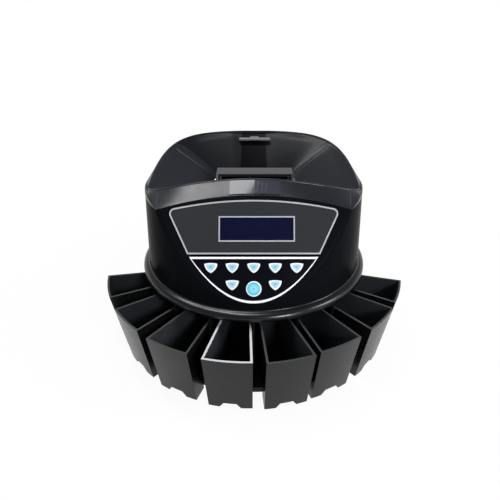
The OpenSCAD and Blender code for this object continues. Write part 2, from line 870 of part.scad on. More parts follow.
module nameplate() {
  n = 12;
  half = 25.2;
  points = [for (k = [0:3], i = [0:n])
    band_point(tab_x + half * (2 * i / n - 1), k == 0 || k == 3 ? 0.08 : 0.94, k < 2 ? 1 : 0.35)];
  m = n + 1;
  sides = [for (k = [0:3], i = [0:n - 1])
    let (a = k * m + i, b = a + 1, c = ((k + 1) % 4) * m + i + 1, d = ((k + 1) % 4) * m + i)
    each [[a, c, b], [a, d, c]]];
  ends = [[0, 2 * m, m], [0, 3 * m, 2 * m], [n, m + n, 2 * m + n], [n, 2 * m + n, 3 * m + n]];
  color([0.5, 0.52, 0.56]) placed() polyhedron(points, concat(sides, ends), convexity = 4);
}

// ---------- feed gate: a bridge over the throat with a hanging gate ----------
bridge_z = 200;
bridge_back = -15;
bridge_front = -35;
pin_y = -20;
pin_z = 190;

module gate_bracket() {
  color([0.16, 0.16, 0.18]) placed() translate([tab_x, 0, 0]) difference() {
    union() {
      block([-bridge_half, bridge_front, bridge_z - 3], [bridge_half, bridge_back, bridge_z]);
      for (s = [-1, 1]) bridge_leg(s);
    }
    translate([-far / 2, pin_y, pin_z]) rotate([0, 90, 0]) post(1.5 + fit, 0, far);
  }
}

// an end leg: it runs forward from the bridge to the lip and down to the pin
module bridge_leg(s) {
  translate([s * (bridge_half + 1.25), 0, 0]) rotate([90, 0, 90]) linear_extrude(2.5, center = true)
    polygon([[bridge_back, bridge_z], [bridge_back, pin_z - 4], [pin_y - 4, pin_z - 4],
             [bridge_front + 2, bridge_z - 10], [-42.6, bridge_z - 7], [-44, bridge_z - 4.5],
             [bridge_front, bridge_z]]);
}

module gate_screws() {
  color([0.75, 0.76, 0.78]) placed() for (s = [-1, 1])
    translate([tab_x + s * (bridge_half + 2.5), -38, bridge_z - 6]) rotate([0, s * 90, 0])
      post(2.2, 0, 1.2);
}

module gate_pin() {
  color([0.7, 0.71, 0.73]) placed() translate([tab_x - bridge_half - 3, pin_y, pin_z]) rotate([0, 90, 0])
    post(1.5, 0, 2 * bridge_half + 6);
}

module feed_gate() {
  half = bridge_half - 2;
  color([0.12, 0.12, 0.13]) placed() translate([tab_x, pin_y, pin_z]) difference() {
    union() {
      rotate([0, 90, 0]) translate([0, 0, -half]) post(3.2, 0, 2 * half);
      block([-half, -1, -24], [half, 1, 0]);
    }
    translate([-far / 2, 0, 0]) rotate([0, 90, 0]) post(1.5 + 0.06, 0, far);
  }
}

// the latch: a finger tab inside the back of the hopper, with a stem through the wall
module hopper_latch() {
  color([0.2, 0.2, 0.22]) placed() translate([tab_x, 0, 0]) union() {
    block([-tab_half, 90.2, tab_z - 3], [tab_half, 95.2, tab_z]);
    block([-6, 90.2, tab_z - 3], [6, rim_back - 6, tab_z]);
  }
}

// ---------- coin boxes ----------

module coin_box(i) {
  color([0.045, 0.05, 0.055]) placed() rotate(bay_angles[i] + box_stand[i][0])
    translate([0, -box_in_r, 0]) rotate(box_stand[i][1])
      translate([0, box_in_r - box_stand[i][2], 0]) box_shape();
}

// the round outer side of a box, leaning out towards the rim, moved in by t
module box_cone(t) {
  translate([0, 0, box_low_z])
    cylinder(r1 = box_low_r - t, r2 = box_top_r - t, h = box_rim_z - box_low_z, $fn = 180);
}

module box_shape() {
  w = box_wall;
  difference() {
    intersection() {
      box_cone(0);
      wedge(box_half, box_low_z, box_rim_z);
      union() {
        ring(box_in_r, far, box_floor_z, box_rim_z);
        ring(skirt_r, far, 0, box_rim_z);
      }
    }
    intersection() {
      box_cone(w);
      wedge(box_half, box_floor_z + 2, far, w);
      ring(box_in_r + w, far, 0, far);
    }
    post(box_top_r - w - 0.01, box_rim_z - 0.001, far);
    intersection() {
      box_cone(w);
      wedge(box_half, 0, box_floor_z, w);
    }
    rotate([90, 0, 0]) linear_extrude(far)
      polygon([[-notch_w / 2, 0], [notch_w / 2, 0], [notch_w / 2, box_low_z],
               [notch_w * 0.3, notch_h], [-notch_w * 0.3, notch_h], [-notch_w / 2, box_low_z]]);
  }
}

module coin_box_1() { coin_box(0); }
module coin_box_2() { coin_box(1); }
module coin_box_3() { coin_box(2); }
module coin_box_4() { coin_box(3); }
module coin_box_5() { coin_box(4); }
module coin_box_6() { coin_box(5); }
module coin_box_7() { coin_box(6); }
module coin_box_8() { coin_box(7); }

base_plate();
rubber_feet();
base_screws();
lower_housing();
bay_dividers();
rear_panel();
power_inlet();
switch_frame();
power_switch();
fuse_holder();
display_port();
chute_deck();
coin_sensors();
sorting_rail();
sorting_disc();
disc_hub_nut();
disc_shaft();
disc_pulley();
upper_bearing();
lower_bearing();
bearing_tower();
drive_belt();
motor_pulley();
motor_shaft();
drive_motor();
motor_bracket();
main_board();
power_supply();
upper_housing();
display_window();
window_trim();
screen_frame();
lcd_module();
keypad_panel();
keypad_trim();
keypad_board();
key_1();
key_2();
key_3();
key_4();
key_5();
key_6();
key_7();
start_key();
hopper();
nameplate();
gate_bracket();
gate_screws();
gate_pin();
feed_gate();
hopper_latch();
coin_box_1();
coin_box_2();
coin_box_3();
coin_box_4();
coin_box_5();
coin_box_6();
coin_box_7();
coin_box_8();
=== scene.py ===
import math

import bmesh
import bpy
import numpy as np
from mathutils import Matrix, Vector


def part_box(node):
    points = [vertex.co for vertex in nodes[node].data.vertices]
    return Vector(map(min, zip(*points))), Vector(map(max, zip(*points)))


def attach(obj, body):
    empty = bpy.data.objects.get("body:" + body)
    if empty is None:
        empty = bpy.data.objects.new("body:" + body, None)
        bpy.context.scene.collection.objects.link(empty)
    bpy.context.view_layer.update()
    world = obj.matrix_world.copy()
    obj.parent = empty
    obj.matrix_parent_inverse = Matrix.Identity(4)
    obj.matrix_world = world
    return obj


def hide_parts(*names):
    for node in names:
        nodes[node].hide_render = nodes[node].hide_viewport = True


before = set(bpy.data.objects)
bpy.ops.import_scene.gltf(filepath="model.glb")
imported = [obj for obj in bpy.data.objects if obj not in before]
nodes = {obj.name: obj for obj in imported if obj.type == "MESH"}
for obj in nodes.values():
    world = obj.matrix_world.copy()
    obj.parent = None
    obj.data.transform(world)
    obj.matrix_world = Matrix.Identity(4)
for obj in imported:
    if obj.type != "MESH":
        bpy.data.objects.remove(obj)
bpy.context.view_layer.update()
mm = 0.001

# ---------------------------------------------------------------- camera, floor and light
# The sorter stands on a pale floor under a pale sky. A wide soft lamp hangs over its left half, a
# square one stands high in front on the right, and a third stands at its right side. Every piece
# is set out from the disc's axis.
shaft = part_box("disc_shaft")
axis_y = (shaft[0][1] + shaft[1][1]) / 2
eye_back, eye_height, eye_tilt = 0.4628, 0.3523, 58.62

camera = bpy.data.cameras.new("camera")
camera.lens = 30.83
camera.sensor_width = 36
camera.shift_x = -0.0074
camera.shift_y = 0.0267
camera.dof.use_dof = False
viewer = bpy.data.objects.new("camera", camera)
viewer.location = (0, axis_y - eye_back, eye_height)
viewer.rotation_euler = (math.radians(eye_tilt), 0, 0)
bpy.context.collection.objects.link(viewer)
bpy.context.scene.camera = viewer
bpy.context.scene.view_settings.view_transform = "Standard"


def soft_lamp(name, place, aim, size, power):
    """A white rectangular lamp at place that faces aim; size is its width and height in metres
    and power is in watts."""
    lamp = bpy.data.lights.new(name, "AREA")
    lamp.shape = "RECTANGLE"
    lamp.size, lamp.size_y = size
    lamp.energy = power
    lamp_object = bpy.data.objects.new(name, lamp)
    lamp_object.location = place
    toward = np.array(aim, float) - np.array(place, float)
    lamp_object.rotation_euler = (
        math.atan2(math.hypot(toward[0], toward[1]), -toward[2]),
        0,
        math.atan2(toward[1], toward[0]) - math.pi / 2,
    )
    bpy.context.collection.objects.link(lamp_object)


soft_lamp("top_lamp", (-0.312, 0.138, 1.10), (-0.271, 0.181, 0.15), (0.86, 0.2), 6.7)
soft_lamp("front_lamp", (0.60, -1.14, 0.74), (0.0, -0.08, 0.13), (0.30, 0.30), 8.5)
soft_lamp("side_lamp", (0.98, -0.26, 0.72), (0.06, -0.06, 0.1), (0.36, 0.46), 6.2)


def link_pairs(tree, *pairs):
    """Links each pair of sockets, from and to, in a shader tree."""
    for out, into in pairs:
        tree.links.new(out, into)


def math_node(tree, operation, a=None, b=None, c=None):
    """A Math node; numbers are set on its inputs and sockets are linked to them."""
    node = tree.nodes.new("ShaderNodeMath")
    node.operation = operation
    for socket, value in zip(node.inputs, (a, b, c)):
        if value is None:
            continue
        if isinstance(value, (int, float)):
            socket.default_value = value
        else:
            tree.links.new(value, socket)
    return node.outputs[0]


def ramp_node(tree, value, low, high, at_low=0.0, at_high=1.0):
    """A value eased from at_low to at_high while its input runs from low to high."""
    node = tree.nodes.new("ShaderNodeMapRange")
    node.interpolation_type = "SMOOTHSTEP"
    tree.links.new(value, node.inputs["Value"])
    for name, number in (("From Min", low), ("From Max", high), ("To Min", at_low),
                         ("To Max", at_high)):
        node.inputs[name].default_value = number
    return node.outputs["Result"]


def seen_ray(tree, glossy=1.0):
    """1 for camera and transmission rays and glossy for glossy ones, which all see the
    background, else 0."""
    path = tree.nodes.new("ShaderNodeLightPath").outputs
    part = math_node(tree, "MULTIPLY", path["Is Glossy Ray"], glossy)
    direct = math_node(tree, "MAXIMUM", path["Is Camera Ray"], part)
    return math_node(tree, "MAXIMUM", direct, path["Is Transmission Ray"])


# The backdrop is white wherever the camera looks. In a mirror it is white behind and beside the
# sorter up to a low height, while the ceiling and the room in front are dim.
room_level, sky_strength = 0.26, 0.28
world = bpy.data.worlds.new("pale_sky")
bpy.context.scene.world = world
world.use_nodes = True
sky = world.node_tree
sky.nodes.clear()
sky_out = sky.nodes.new("ShaderNodeOutputWorld")
sky_mix = sky.nodes.new("ShaderNodeMixShader")
sky_seen = sky.nodes.new("ShaderNodeBackground")
sky_light = sky.nodes.new("ShaderNodeBackground")
way = sky.nodes.new("ShaderNodeSeparateXYZ")
sky.links.new(sky.nodes.new("ShaderNodeTexCoord").outputs["Generated"], way.inputs[0])
lower = ramp_node(sky, way.outputs["Z"], 0.18, 0.55, 1.0, 0.0)
behind = ramp_node(sky, way.outputs["Y"], -0.75, 0.1)
white_share = math_node(sky, "MULTIPLY", lower, behind)
mirrored = math_node(sky, "MULTIPLY_ADD", white_share, 1 - room_level, room_level)
camera_ray = sky.nodes.new("ShaderNodeLightPath").outputs["Is Camera Ray"]
sky_level = math_node(sky, "MAXIMUM", mirrored, camera_ray)
sky_seen.inputs["Color"].default_value = (1, 1, 1, 1)
sky_light.inputs["Color"].default_value = (0.96, 0.98, 1.0, 1)
sky_light.inputs["Strength"].default_value = sky_strength
link_pairs(sky, (sky_level, sky_seen.inputs["Strength"]), (seen_ray(sky), sky_mix.inputs["Fac"]),
           (sky_light.outputs[0], sky_mix.inputs[1]), (sky_seen.outputs[0], sky_mix.inputs[2]),
           (sky_mix.outputs[0], sky_out.inputs["Surface"]))

# The floor glows white to the eye and, a little less, in a mirror. Near the sorter some of the
# plain floor shows through, and with it the shadow.
floor_half, floor_mirror = 6, 0.7
shadow_near, shadow_far, near_glow = 0.15, 0.5, 0.93
floor_mesh = bpy.data.meshes.new("floor")
floor_mesh.from_pydata([(-floor_half, -floor_half, 0), (floor_half, -floor_half, 0),
                        (floor_half, floor_half, 0), (-floor_half, floor_half, 0)],
                       [], [(0, 1, 2, 3)])
floor = bpy.data.objects.new("floor", floor_mesh)
bpy.context.collection.objects.link(floor)
floor_paint = bpy.data.materials.new("pale_floor")
floor_paint.use_nodes = True
tree = floor_paint.node_tree
tree.nodes.clear()
floor_out = tree.nodes.new("ShaderNodeOutputMaterial")
floor_mix = tree.nodes.new("ShaderNodeMixShader")
floor_skin = tree.nodes.new("ShaderNodeBsdfDiffuse")
floor_glow = tree.nodes.new("ShaderNodeEmission")
floor_skin.inputs["Color"].default_value = (0.93, 0.93, 0.93, 1)
floor_glow.inputs["Color"].default_value = (1, 1, 1, 1)
spot = tree.nodes.new("ShaderNodeVectorMath")
spot.operation = "LENGTH"
tree.links.new(tree.nodes.new("ShaderNodeTexCoord").outputs["Object"], spot.inputs[0])
glow = ramp_node(tree, spot.outputs["Value"], shadow_near, shadow_far, near_glow, 1.0)
floor_share = math_node(tree, "MULTIPLY", seen_ray(tree, floor_mirror), glow)
link_pairs(tree, (floor_share, floor_mix.inputs["Fac"]),
           (floor_skin.outputs[0], floor_mix.inputs[1]),
           (floor_glow.outputs[0], floor_mix.inputs[2]),
           (floor_mix.outputs[0], floor_out.inputs["Surface"]))
floor_mesh.materials.append(floor_paint)

# ---------------------------------------------------------------- base plate, screws and feet
# A round moulded plate on four rubber feet, with a skirt turned down round its edge. Four steel
# screws come up through it into bosses in the housing.


def moulded_skin_group():
    """Moulded plastic: the colour is scaled by 1 plus Drift times a slow noise, the roughness is
    Gloss plus Gloss drift times a quicker one, and a fine spark-eroded grain gives the height."""
    group = bpy.data.node_groups.new("moulded_skin", "ShaderNodeTree")
    face = group.interface
    face.new_socket("Colour", in_out="INPUT", socket_type="NodeSocketColor")
    for name, value in (("Drift", 0.1), ("Gloss", 0.3), ("Gloss drift", 0.06), ("Grain", 900.0)):
        socket = face.new_socket(name, in_out="INPUT", socket_type="NodeSocketFloat")
        socket.default_value = value
    face.new_socket("Colour", in_out="OUTPUT", socket_type="NodeSocketColor")
    face.new_socket("Roughness", in_out="OUTPUT", socket_type="NodeSocketFloat")
    face.new_socket("Height", in_out="OUTPUT", socket_type="NodeSocketFloat")
    into = group.nodes.new("NodeGroupInput")
    out = group.nodes.new("NodeGroupOutput")
    where = group.nodes.new("ShaderNodeTexCoord")
    cloud, film, grain = (group.nodes.new("ShaderNodeTexNoise") for _ in range(3))
    for noise, scale, detail in ((cloud, 22, 4), (film, 140, 5), (grain, 900, 2)):
        noise.inputs["Scale"].default_value = scale
        noise.inputs["Detail"].default_value = detail
        group.links.new(where.outputs["Object"], noise.inputs["Vector"])
    group.links.new(into.outputs["Grain"], grain.inputs["Scale"])
    cloud_swing = math_node(group, "SUBTRACT", cloud.outputs["Fac"], 0.5)
    brightness = math_node(group, "MULTIPLY_ADD", cloud_swing, into.outputs["Drift"], 1.0)
    shade = group.nodes.new("ShaderNodeVectorMath")
    shade.operation = "SCALE"
    film_swing = math_node(group, "SUBTRACT", film.outputs["Fac"], 0.5)
    gloss = math_node(group, "MULTIPLY_ADD", film_swing, into.outputs["Gloss drift"],
                      into.outputs["Gloss"])
    link_pairs(group, (into.outputs["Colour"], shade.inputs[0]),
               (brightness, shade.inputs["Scale"]), (shade.outputs[0], out.inputs["Colour"]),
               (gloss, out.inputs["Roughness"]), (grain.outputs["Fac"], out.inputs["Height"]))
    return group


moulded_skin = moulded_skin_group()


def plastic(name, colour, gloss=0.3, drift=0.3, gloss_drift=0.12, grain=900.0, depth=0.02,
            ior=1.5):
    """A moulded plastic. depth is the grain's height in millimetres."""
    material = bpy.data.materials.new(name)
    material.use_nodes = True
    tree = material.node_tree
    shader = tree.nodes["Principled BSDF"]
    skin = tree.nodes.new("ShaderNodeGroup")
    skin.node_tree = moulded_skin
    skin.inputs["Colour"].default_value = (*colour, 1)
    skin.inputs["Drift"].default_value = drift
    skin.inputs["Gloss"].default_value = gloss
    skin.inputs["Gloss drift"].default_value = gloss_drift
    skin.inputs["Grain"].default_value = grain
    bump = tree.nodes.new("ShaderNodeBump")
    bump.inputs["Distance"].default_value = depth * mm
    bump.inputs["Strength"].default_value = 1.0
    shader.inputs["IOR"].default_value = ior
    link_pairs(tree, (skin.outputs["Colour"], shader.inputs["Base Color"]),
               (skin.outputs["Roughness"], shader.inputs["Roughness"]),
               (skin.outputs["Height"], bump.inputs["Height"]),
               (bump.outputs["Normal"], shader.inputs["Normal"]))
    return material


def metal(name, colour, rough):
    """A worked metal: the same skin with a finer, shallower grain, as milling leaves it."""
    material = plastic(name, colour, rough, drift=0.2, gloss_drift=0.2, grain=720.0, depth=0.004)
    material.node_tree.nodes["Principled BSDF"].inputs["Metallic"].default_value = 1.0
    return material


def finish_nodes(material, *names):
    """Gives each named node its material in every slot."""
    for name in names:
        mesh = nodes[name].data
        if not mesh.materials:
            mesh.materials.append(material)
        for i in range(len(mesh.materials)):
            mesh.materials[i] = material


def bevelled(name, node, width, material, body, sharp=32.0):
    """A piece of the node's own form with its triangles joined up and its edges eased by width
    in millimetres, shaded smooth where faces meet at less than sharp degrees."""
    mesh = nodes[node].data.copy()
    mesh.name = name
    piece = bpy.data.objects.new(name, mesh)
    bpy.context.collection.objects.link(piece)
    work = bmesh.new()
    work.from_mesh(mesh)
    bmesh.ops.remove_doubles(work, verts=work.verts, dist=0.002 * mm)
    bmesh.ops.dissolve_limit(work, angle_limit=math.radians(0.6), verts=work.verts,
                             edges=work.edges)
    work.to_mesh(mesh)
    work.free()
    mesh.shade_smooth()
    mesh.set_sharp_from_angle(angle=math.radians(sharp))
    mesh.materials.clear()
    mesh.materials.append(material)
    ease = piece.modifiers.new("eased_edges", "BEVEL")
    ease.width = width * mm
    ease.segments = 2
    ease.limit_method = "ANGLE"
    ease.angle_limit = math.radians(sharp)
    ease.use_clamp_overlap = True
    ease.harden_normals = True
    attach(piece, body)
    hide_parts(node)
    return piece


base_black = plastic("base_black", (0.008, 0.008, 0.009), 0.42, depth=0.03, ior=1.35)
rubber = plastic("foot_rubber", (0.02, 0.02, 0.02), 0.75, grain=1600, depth=0.05)
steel = metal("bright_steel", (0.55, 0.55, 0.56), 0.28)
bevelled("base", "base_plate", 0.9, base_black, "base")
finish_nodes(rubber, "rubber_feet")
finish_nodes(steel, "base_screws")

# ---------------------------------------------------------------- lower housing
# A black moulding stands on the base: an inner wall, two end walls and a rear shell with a flat
# back. Seven dividers of the same plastic stand on the base too and part the bays of the boxes.
housing_black = plastic("housing_black", (0.004, 0.004, 0.005), 0.5, ior=1.25)
bevelled("lower_shell", "lower_housing", 0.5, housing_black, "base")
bevelled("dividers", "bay_dividers", 0.4, housing_black, "base")

# ---------------------------------------------------------------- rear fittings
# A painted steel panel on the flat back holds the mains inlet, the rocker switch, the fuse and a
# socket for a display.
panel_paint = plastic("panel_paint", (0.09, 0.092, 0.1), 0.4, depth=0.03)
fitting_black = plastic("fitting_black", (0.015, 0.015, 0.017), 0.35)
nickel = metal("nickel", (0.62, 0.6, 0.57), 0.32)
for piece_name, node, edge, paint, body, slot in (
        ("back_plate", "rear_panel", 0.3, panel_paint, "base", "panel_steel"),
        ("inlet_shell", "power_inlet", 0.4, fitting_black, "base", "base_plastic"),
        ("rocker_frame", "switch_frame", 0.3, fitting_black, "base", "base_plastic"),
        ("rocker", "power_switch", 0.5, fitting_black, "rocker", "base_plastic"),
        ("fuse_cap", "fuse_holder", 0.4, fitting_black, "base", "base_plastic"),
        ("display_socket", "display_port", 0.3, nickel, "base", "steel")):
    bevelled(piece_name, node, edge, paint, body)

# ---------------------------------------------------------------- sorting parts
# Inside, a deck with a chute over each box carries the rail. The ribbed disc rides on its steel
# shaft in two bearings in a cast tower, and a rubber belt drives it.
deck_grey = plastic("deck_grey", (0.06, 0.064, 0.07), 0.45)
rail_steel = metal("rail_steel", (0.6, 0.61, 0.62), 0.3)
disc_alloy = metal("disc_alloy", (0.72, 0.72, 0.73), 0.35)
sensor_green = plastic("sensor_green", (0.02, 0.09, 0.04), 0.4)
belt_black = plastic("belt_black", (0.02, 0.02, 0.02), 0.7)
pulley_white = plastic("pulley_white", (0.5, 0.5, 0.48), 0.45)
bevelled("ribbed_disc", "sorting_disc", 0.3, disc_alloy, "disc")
finish_nodes(deck_grey, "chute_deck", "bearing_tower")
finish_nodes(sensor_green, "coin_sensors")
finish_nodes(rail_steel, "sorting_rail")
finish_nodes(steel, "disc_hub_nut", "disc_shaft", "upper_bearing", "lower_bearing", "motor_shaft")
finish_nodes(pulley_white, "disc_pulley", "motor_pulley")
finish_nodes(belt_black, "drive_belt")

# ---------------------------------------------------------------- motor and boards
# The motor hangs from a steel bracket beside the tower. The control board and the supply stand on
# the base, and the keypad's own board lies behind the sloping face.
zinc = metal("zinc_plate", (0.5, 0.51, 0.52), 0.4)
board_green = plastic("board_green", (0.015, 0.10, 0.045), 0.35)
finish_nodes(zinc, "drive_motor", "motor_bracket", "power_supply")
finish_nodes(board_green, "main_board", "keypad_board")

# ---------------------------------------------------------------- upper housing
# The drum is one glossy black moulding: a rounded flange at its foot, a slightly tapering wall
# and a flat face, leaning back, cut across its front.


def skin_mesh(name, points, faces, material, body, sharp=None):
    """Makes a piece from points in millimetres about the disc's axis and faces; shaded smooth,
    with edges kept where faces meet at more than sharp degrees."""
    place = points.reshape(-1, 3) * mm + np.array([0, axis_y, 0])
    mesh = bpy.data.meshes.new(name)
    mesh.from_pydata(place.tolist(), [], faces.tolist())
    mesh.update()
    mesh.shade_smooth()
    if sharp:
        mesh.set_sharp_from_angle(angle=math.radians(sharp))
    mesh.materials.append(material)
    piece = bpy.data.objects.new(name, mesh)
    bpy.context.collection.objects.link(piece)
    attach(piece, body)
    return piece


def grid_faces(rows, columns, close_rows=False):
    """Quads between neighbouring rows and columns of a grid of points. The last column is joined
    to the first, and with close_rows the last row too."""
    r = np.arange(rows if close_rows else rows - 1)
    r, c = np.meshgrid(r, np.arange(columns), indexing="ij")
    r1, c1 = (r + 1) % rows, (c + 1) % columns
    quads = np.stack([r * columns + c, r * columns + c1, r1 * columns + c1, r1 * columns + c], -1)
    return quads.reshape(-1, 4)


# Foot of the sloping face and its lean; its length, the radius of its arched top edge and half
# its width there.
face_y, face_z, face_lean = -127.5, 97.0, math.radians(55)
face_cos, face_sin = math.cos(face_lean), math.sin(face_lean)
face_len, face_arc, face_half = 111.0, 333.0, 97.0
# Heights of the drum's foot, of the first row in the plain wall, of the row where the lift to the
# face's top edge begins, and of the seam with the hopper; height and radius of the shoulder that
# the wall aims at; the wall's thickness.
foot_z, wall_z, lift_z, seam_z = 83.4, 96, 168, 175.5
shoulder_z, shoulder_r = 180.0, 120.5
drum_wall = 2.8


def on_face(x, v, h):
    """Face coordinates to millimetres about the axis: x across, v up the slope from its foot, h
    out of the face."""
    x, v, h = np.broadcast_arrays(x, v, h)
    return np.stack([x, face_y + v * face_cos - h * face_sin,
                     face_z + v * face_sin + h * face_cos], -1)


def face_place(points):
    """x, v and h of points in millimetres about the axis: the way back of on_face."""
    dy, dz = points[..., 1] - face_y, points[..., 2] - face_z
    return points[..., 0], dy * face_cos + dz * face_sin, dz * face_cos - dy * face_sin


def eased(line, step, reach):
    """A polyline resampled every step and averaged over reach, which rounds its corners."""
    length = np.concatenate([[0], np.cumsum(np.hypot(*np.diff(line, axis=0).T))])
    s = np.arange(0, length[-1], step)
    fine = np.stack([np.interp(s, length, line[:, k]) for k in (0, 1)], -1)
    n = max(1, int(reach / step / 2))
    pad = np.concatenate([np.repeat(fine[:1], n, 0), fine, np.repeat(fine[-1:], n, 0)])
    kernel = np.hanning(2 * n + 3)[1:-1]
    kernel = kernel / kernel.sum()
    return np.stack([np.convolve(pad[:, k], kernel, "valid") for k in (0, 1)], -1)


def face_top(turn, steps=600):
    """Height of the face's arched top edge at each turn: the highest of some steps above the
    seam at which the sloping face is still inside its arc. Beside the face it is the seam's."""
    above_arch = 190
    rise = np.linspace(seam_z, above_arch, steps)
    v = (rise - face_z) / face_sin
    depth = -(face_y + v * face_cos)
    ahead = np.cos(turn) > 0.2
    x = depth[:, None] * np.abs(np.tan(np.where(ahead, turn, 0)))[None, :]
    inside = x ** 2 + (v[:, None] + face_arc - face_len) ** 2 < face_arc ** 2
    inside &= ahead[None, :] & (x < face_half - 0.1)
    highest = np.where(inside, np.arange(steps)[:, None], 0).max(0)
    return np.where(inside.any(0), rise[highest], seam_z)


def drum_points(columns=384):
    """The drum's skin as radius over turn and height. The radius is the smaller of the turned
    outline's and the sloping face's, blended over half a millimetre. Near the seam the rows lift
    to the face's arched top edge."""
    outline = np.array([
        (133.5, foot_z), (133.5, 85.2), (133.1, 87.2), (132.0, 88.8), (130.3, 90.0),
        (128.3, 90.7), (126.6, 91.2), (126.05, 92.2), (125.95, 94), (shoulder_r, shoulder_z)])
    line = eased(outline, 0.2, 1.8)
    rows = np.concatenate([[foot_z], np.arange(84, wall_z, 0.35),
                           np.arange(wall_z, lift_z, 1.5), np.linspace(lift_z + 0.5, seam_z, 8)])
    turn = np.arange(columns) * 2 * np.pi / columns
    share = np.clip((rows - lift_z) / (seam_z - lift_z), 0, 1)[:, None]
    z = rows[:, None] + share * (face_top(turn) - seam_z)[None, :]
    round_r = np.interp(z, np.append(line[:, 1], 200), np.append(line[:, 0], 119.2))
    ahead, far_off, blend = np.cos(turn)[None, :], 1e4, 0.45
    flat_r = (-face_y - (z - face_z) * face_cos / face_sin) / np.maximum(ahead, 0.05)
    flat_r = np.where((ahead > 0.05) & (z > wall_z - 0.5), flat_r, far_off)
    near = np.minimum(round_r, flat_r)
    r = near - blend * np.log(np.exp((near - round_r) / blend) + np.exp((near - flat_r) / blend))
    r = np.where(flat_r == far_off, round_r, r)
    return np.stack([r * np.sin(turn), -r * np.cos(turn), z], -1)


# Painted light: the wall and the flange are one black plastic in two copies. The wall's copy
# barely reflects, as painted shade, and the flange's reflects strongly so that it carries the side
# lamp's highlight.
drum_wall_shaded = plastic("drum_wall_shaded", (0.0045, 0.005, 0.0065), 0.27, depth=0.008, ior=1.04)
flange_lit = plastic("flange_lit", (0.0045, 0.005, 0.0065), 0.24, depth=0.008, ior=1.45)
drum = drum_points()
drum_faces = grid_faces(*drum.shape[:2])
# The skin is open under the window, which widens upwards, and under the keypad, whose foot curves.
fx, fv, fh = face_place(drum.reshape(-1, 3)[drum_faces].mean(1))
window_low, window_high, window_half, window_flare = 56, 92, 58, 0.55
keys_low, keys_high, keys_half, keys_rise = 10, 46, 57, 38
window_side = window_half + (fv - 54) * window_flare
keys_foot = keys_low + keys_rise * np.abs(fx / 59) ** 2.05
under_window = (np.abs(fx) < window_side) & (fv > window_low) & (fv < window_high)
under_keys = (np.abs(fx) < keys_half) & (fv > keys_foot) & (fv < keys_high)
drum_faces = drum_faces[~((under_window | under_keys) & (np.abs(fh) < 1.5))]
drum_piece = skin_mesh("drum", drum, drum_faces, drum_wall_shaded, "base")
drum_piece.data.materials.append(flange_lit)
flange_top = 92.1
# Faces below the flange's top take the more reflective copy for the highlight; the rest take the
# painted-shade copy.
on_flange = drum.reshape(-1, 3)[drum_faces].mean(1)[:, 2] < flange_top
drum_piece.data.polygons.foreach_set("material_index", on_flange.astype(np.int32))
wall = drum_piece.modifiers.new("wall", "SOLIDIFY")
wall.thickness = drum_wall * mm
wall.offset = -1
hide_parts("upper_housing")

# ---------------------------------------------------------------- display window
# A smoked panel lies on the face inside a thin printed line. A fine grey frame borders the blue
# liquid crystal screen.
smoke = plastic("smoke_panel", (0.023, 0.025, 0.028), 0.13, drift=0.2, gloss_drift=0.03,
                depth=0.003, ior=1.45)
trim_grey = plastic("trim_grey", (0.40, 0.41, 0.45), 0.4)
screen_blue = plastic("screen_blue", (0.002, 0.003, 0.022), 0.15, drift=0.5, depth=0.002, ior=1.3)
finish_nodes(smoke, "display_window")
finish_nodes(trim_grey, "window_trim", "screen_frame")
finish_nodes(screen_blue, "lcd_module")

# ---------------------------------------------------------------- keypad
# A black membrane with a white line round it. Seven keys are white shields with a pale blue
# middle, and the start key is a blue disc in a white ring.
trim_white = plastic("trim_white", (0.9, 0.92, 0.95), 0.4)
keypad_black = plastic("keypad_black", (0.003, 0.003, 0.006), 0.3, depth=0.004, ior=1.12)
finish_nodes(trim_white, "keypad_trim")
finish_nodes(keypad_black, "keypad_panel")


def key_paint(name, middle, outer, ring_at):
    """Printed key: the middle's colour runs into the outer one, and a white border starts at
    ring_at of the way from the middle to the edge. A faint worn mark sits in the middle."""
    material = bpy.data.materials.new(name)
    material.use_nodes = True
    tree = material.node_tree
    shader = tree.nodes["Principled BSDF"]
    across = tree.nodes.new("ShaderNodeAttribute")
    across.attribute_name = "across"
    ramp = tree.nodes.new("ShaderNodeValToRGB")
    stops = ramp.color_ramp.elements
    worn = [c * 0.7 for c in middle]
    stops[0].position = 0.1
    stops[0].color = (*worn, 1)
    stops.new(0.24).color = (*middle, 1)
    stops[2].position = ring_at - 0.05
    stops[2].color = (*outer, 1)
    stops.new(ring_at).color = (0.90, 0.94, 0.96, 1)
    skin = tree.nodes.new("ShaderNodeGroup")
    skin.node_tree = moulded_skin
    skin.inputs["Drift"].default_value = 0.15
    skin.inputs["Gloss"].default_value = 0.35
    link_pairs(tree, (across.outputs["Fac"], ramp.inputs["Fac"]),
               (ramp.outputs["Color"], skin.inputs["Colour"]),
               (skin.outputs["Colour"], shader.inputs["Base Color"]),
               (skin.outputs["Roughness"], shader.inputs["Roughness"]))
    return material


shield_paint = key_paint("shield_paint", (0.29, 0.54, 0.72), (0.42, 0.66, 0.81), 0.74)
start_paint = key_paint("start_paint", (0.26, 0.72, 0.86), (0.07, 0.46, 0.64), 0.88)


def shield_loop(w, h, n=64):
    """Outline of a shield, w wide and h high: half the width falls as (1 - s squared) to the 0.8
    while the side runs down to the tip, and the top edge is a low sine arch. It is walked
    anticlockwise from the tip in n even steps."""
    s = np.linspace(0, 1, 17)
    side = np.stack([w / 2 * (1 - s ** 2) ** 0.8, h * (0.24 - 0.94 * s)], -1)
    top = np.stack([w / 2 * (1 - 2 * s), h * 0.24 + h * 0.06 * np.sin(np.pi * s)], -1)
    line = np.concatenate([side[::-1], top[1:], side[1:] * [-1, 1]])
    length = np.concatenate([[0], np.cumsum(np.hypot(*np.diff(line, axis=0).T))])
    t = np.linspace(0, length[-1], n, endpoint=False)
    fine = np.stack([np.interp(t, length, line[:, k]) for k in (0, 1)], -1)
    return (np.roll(fine, 1, 0) + 2 * fine + np.roll(fine, -1, 0)) / 4


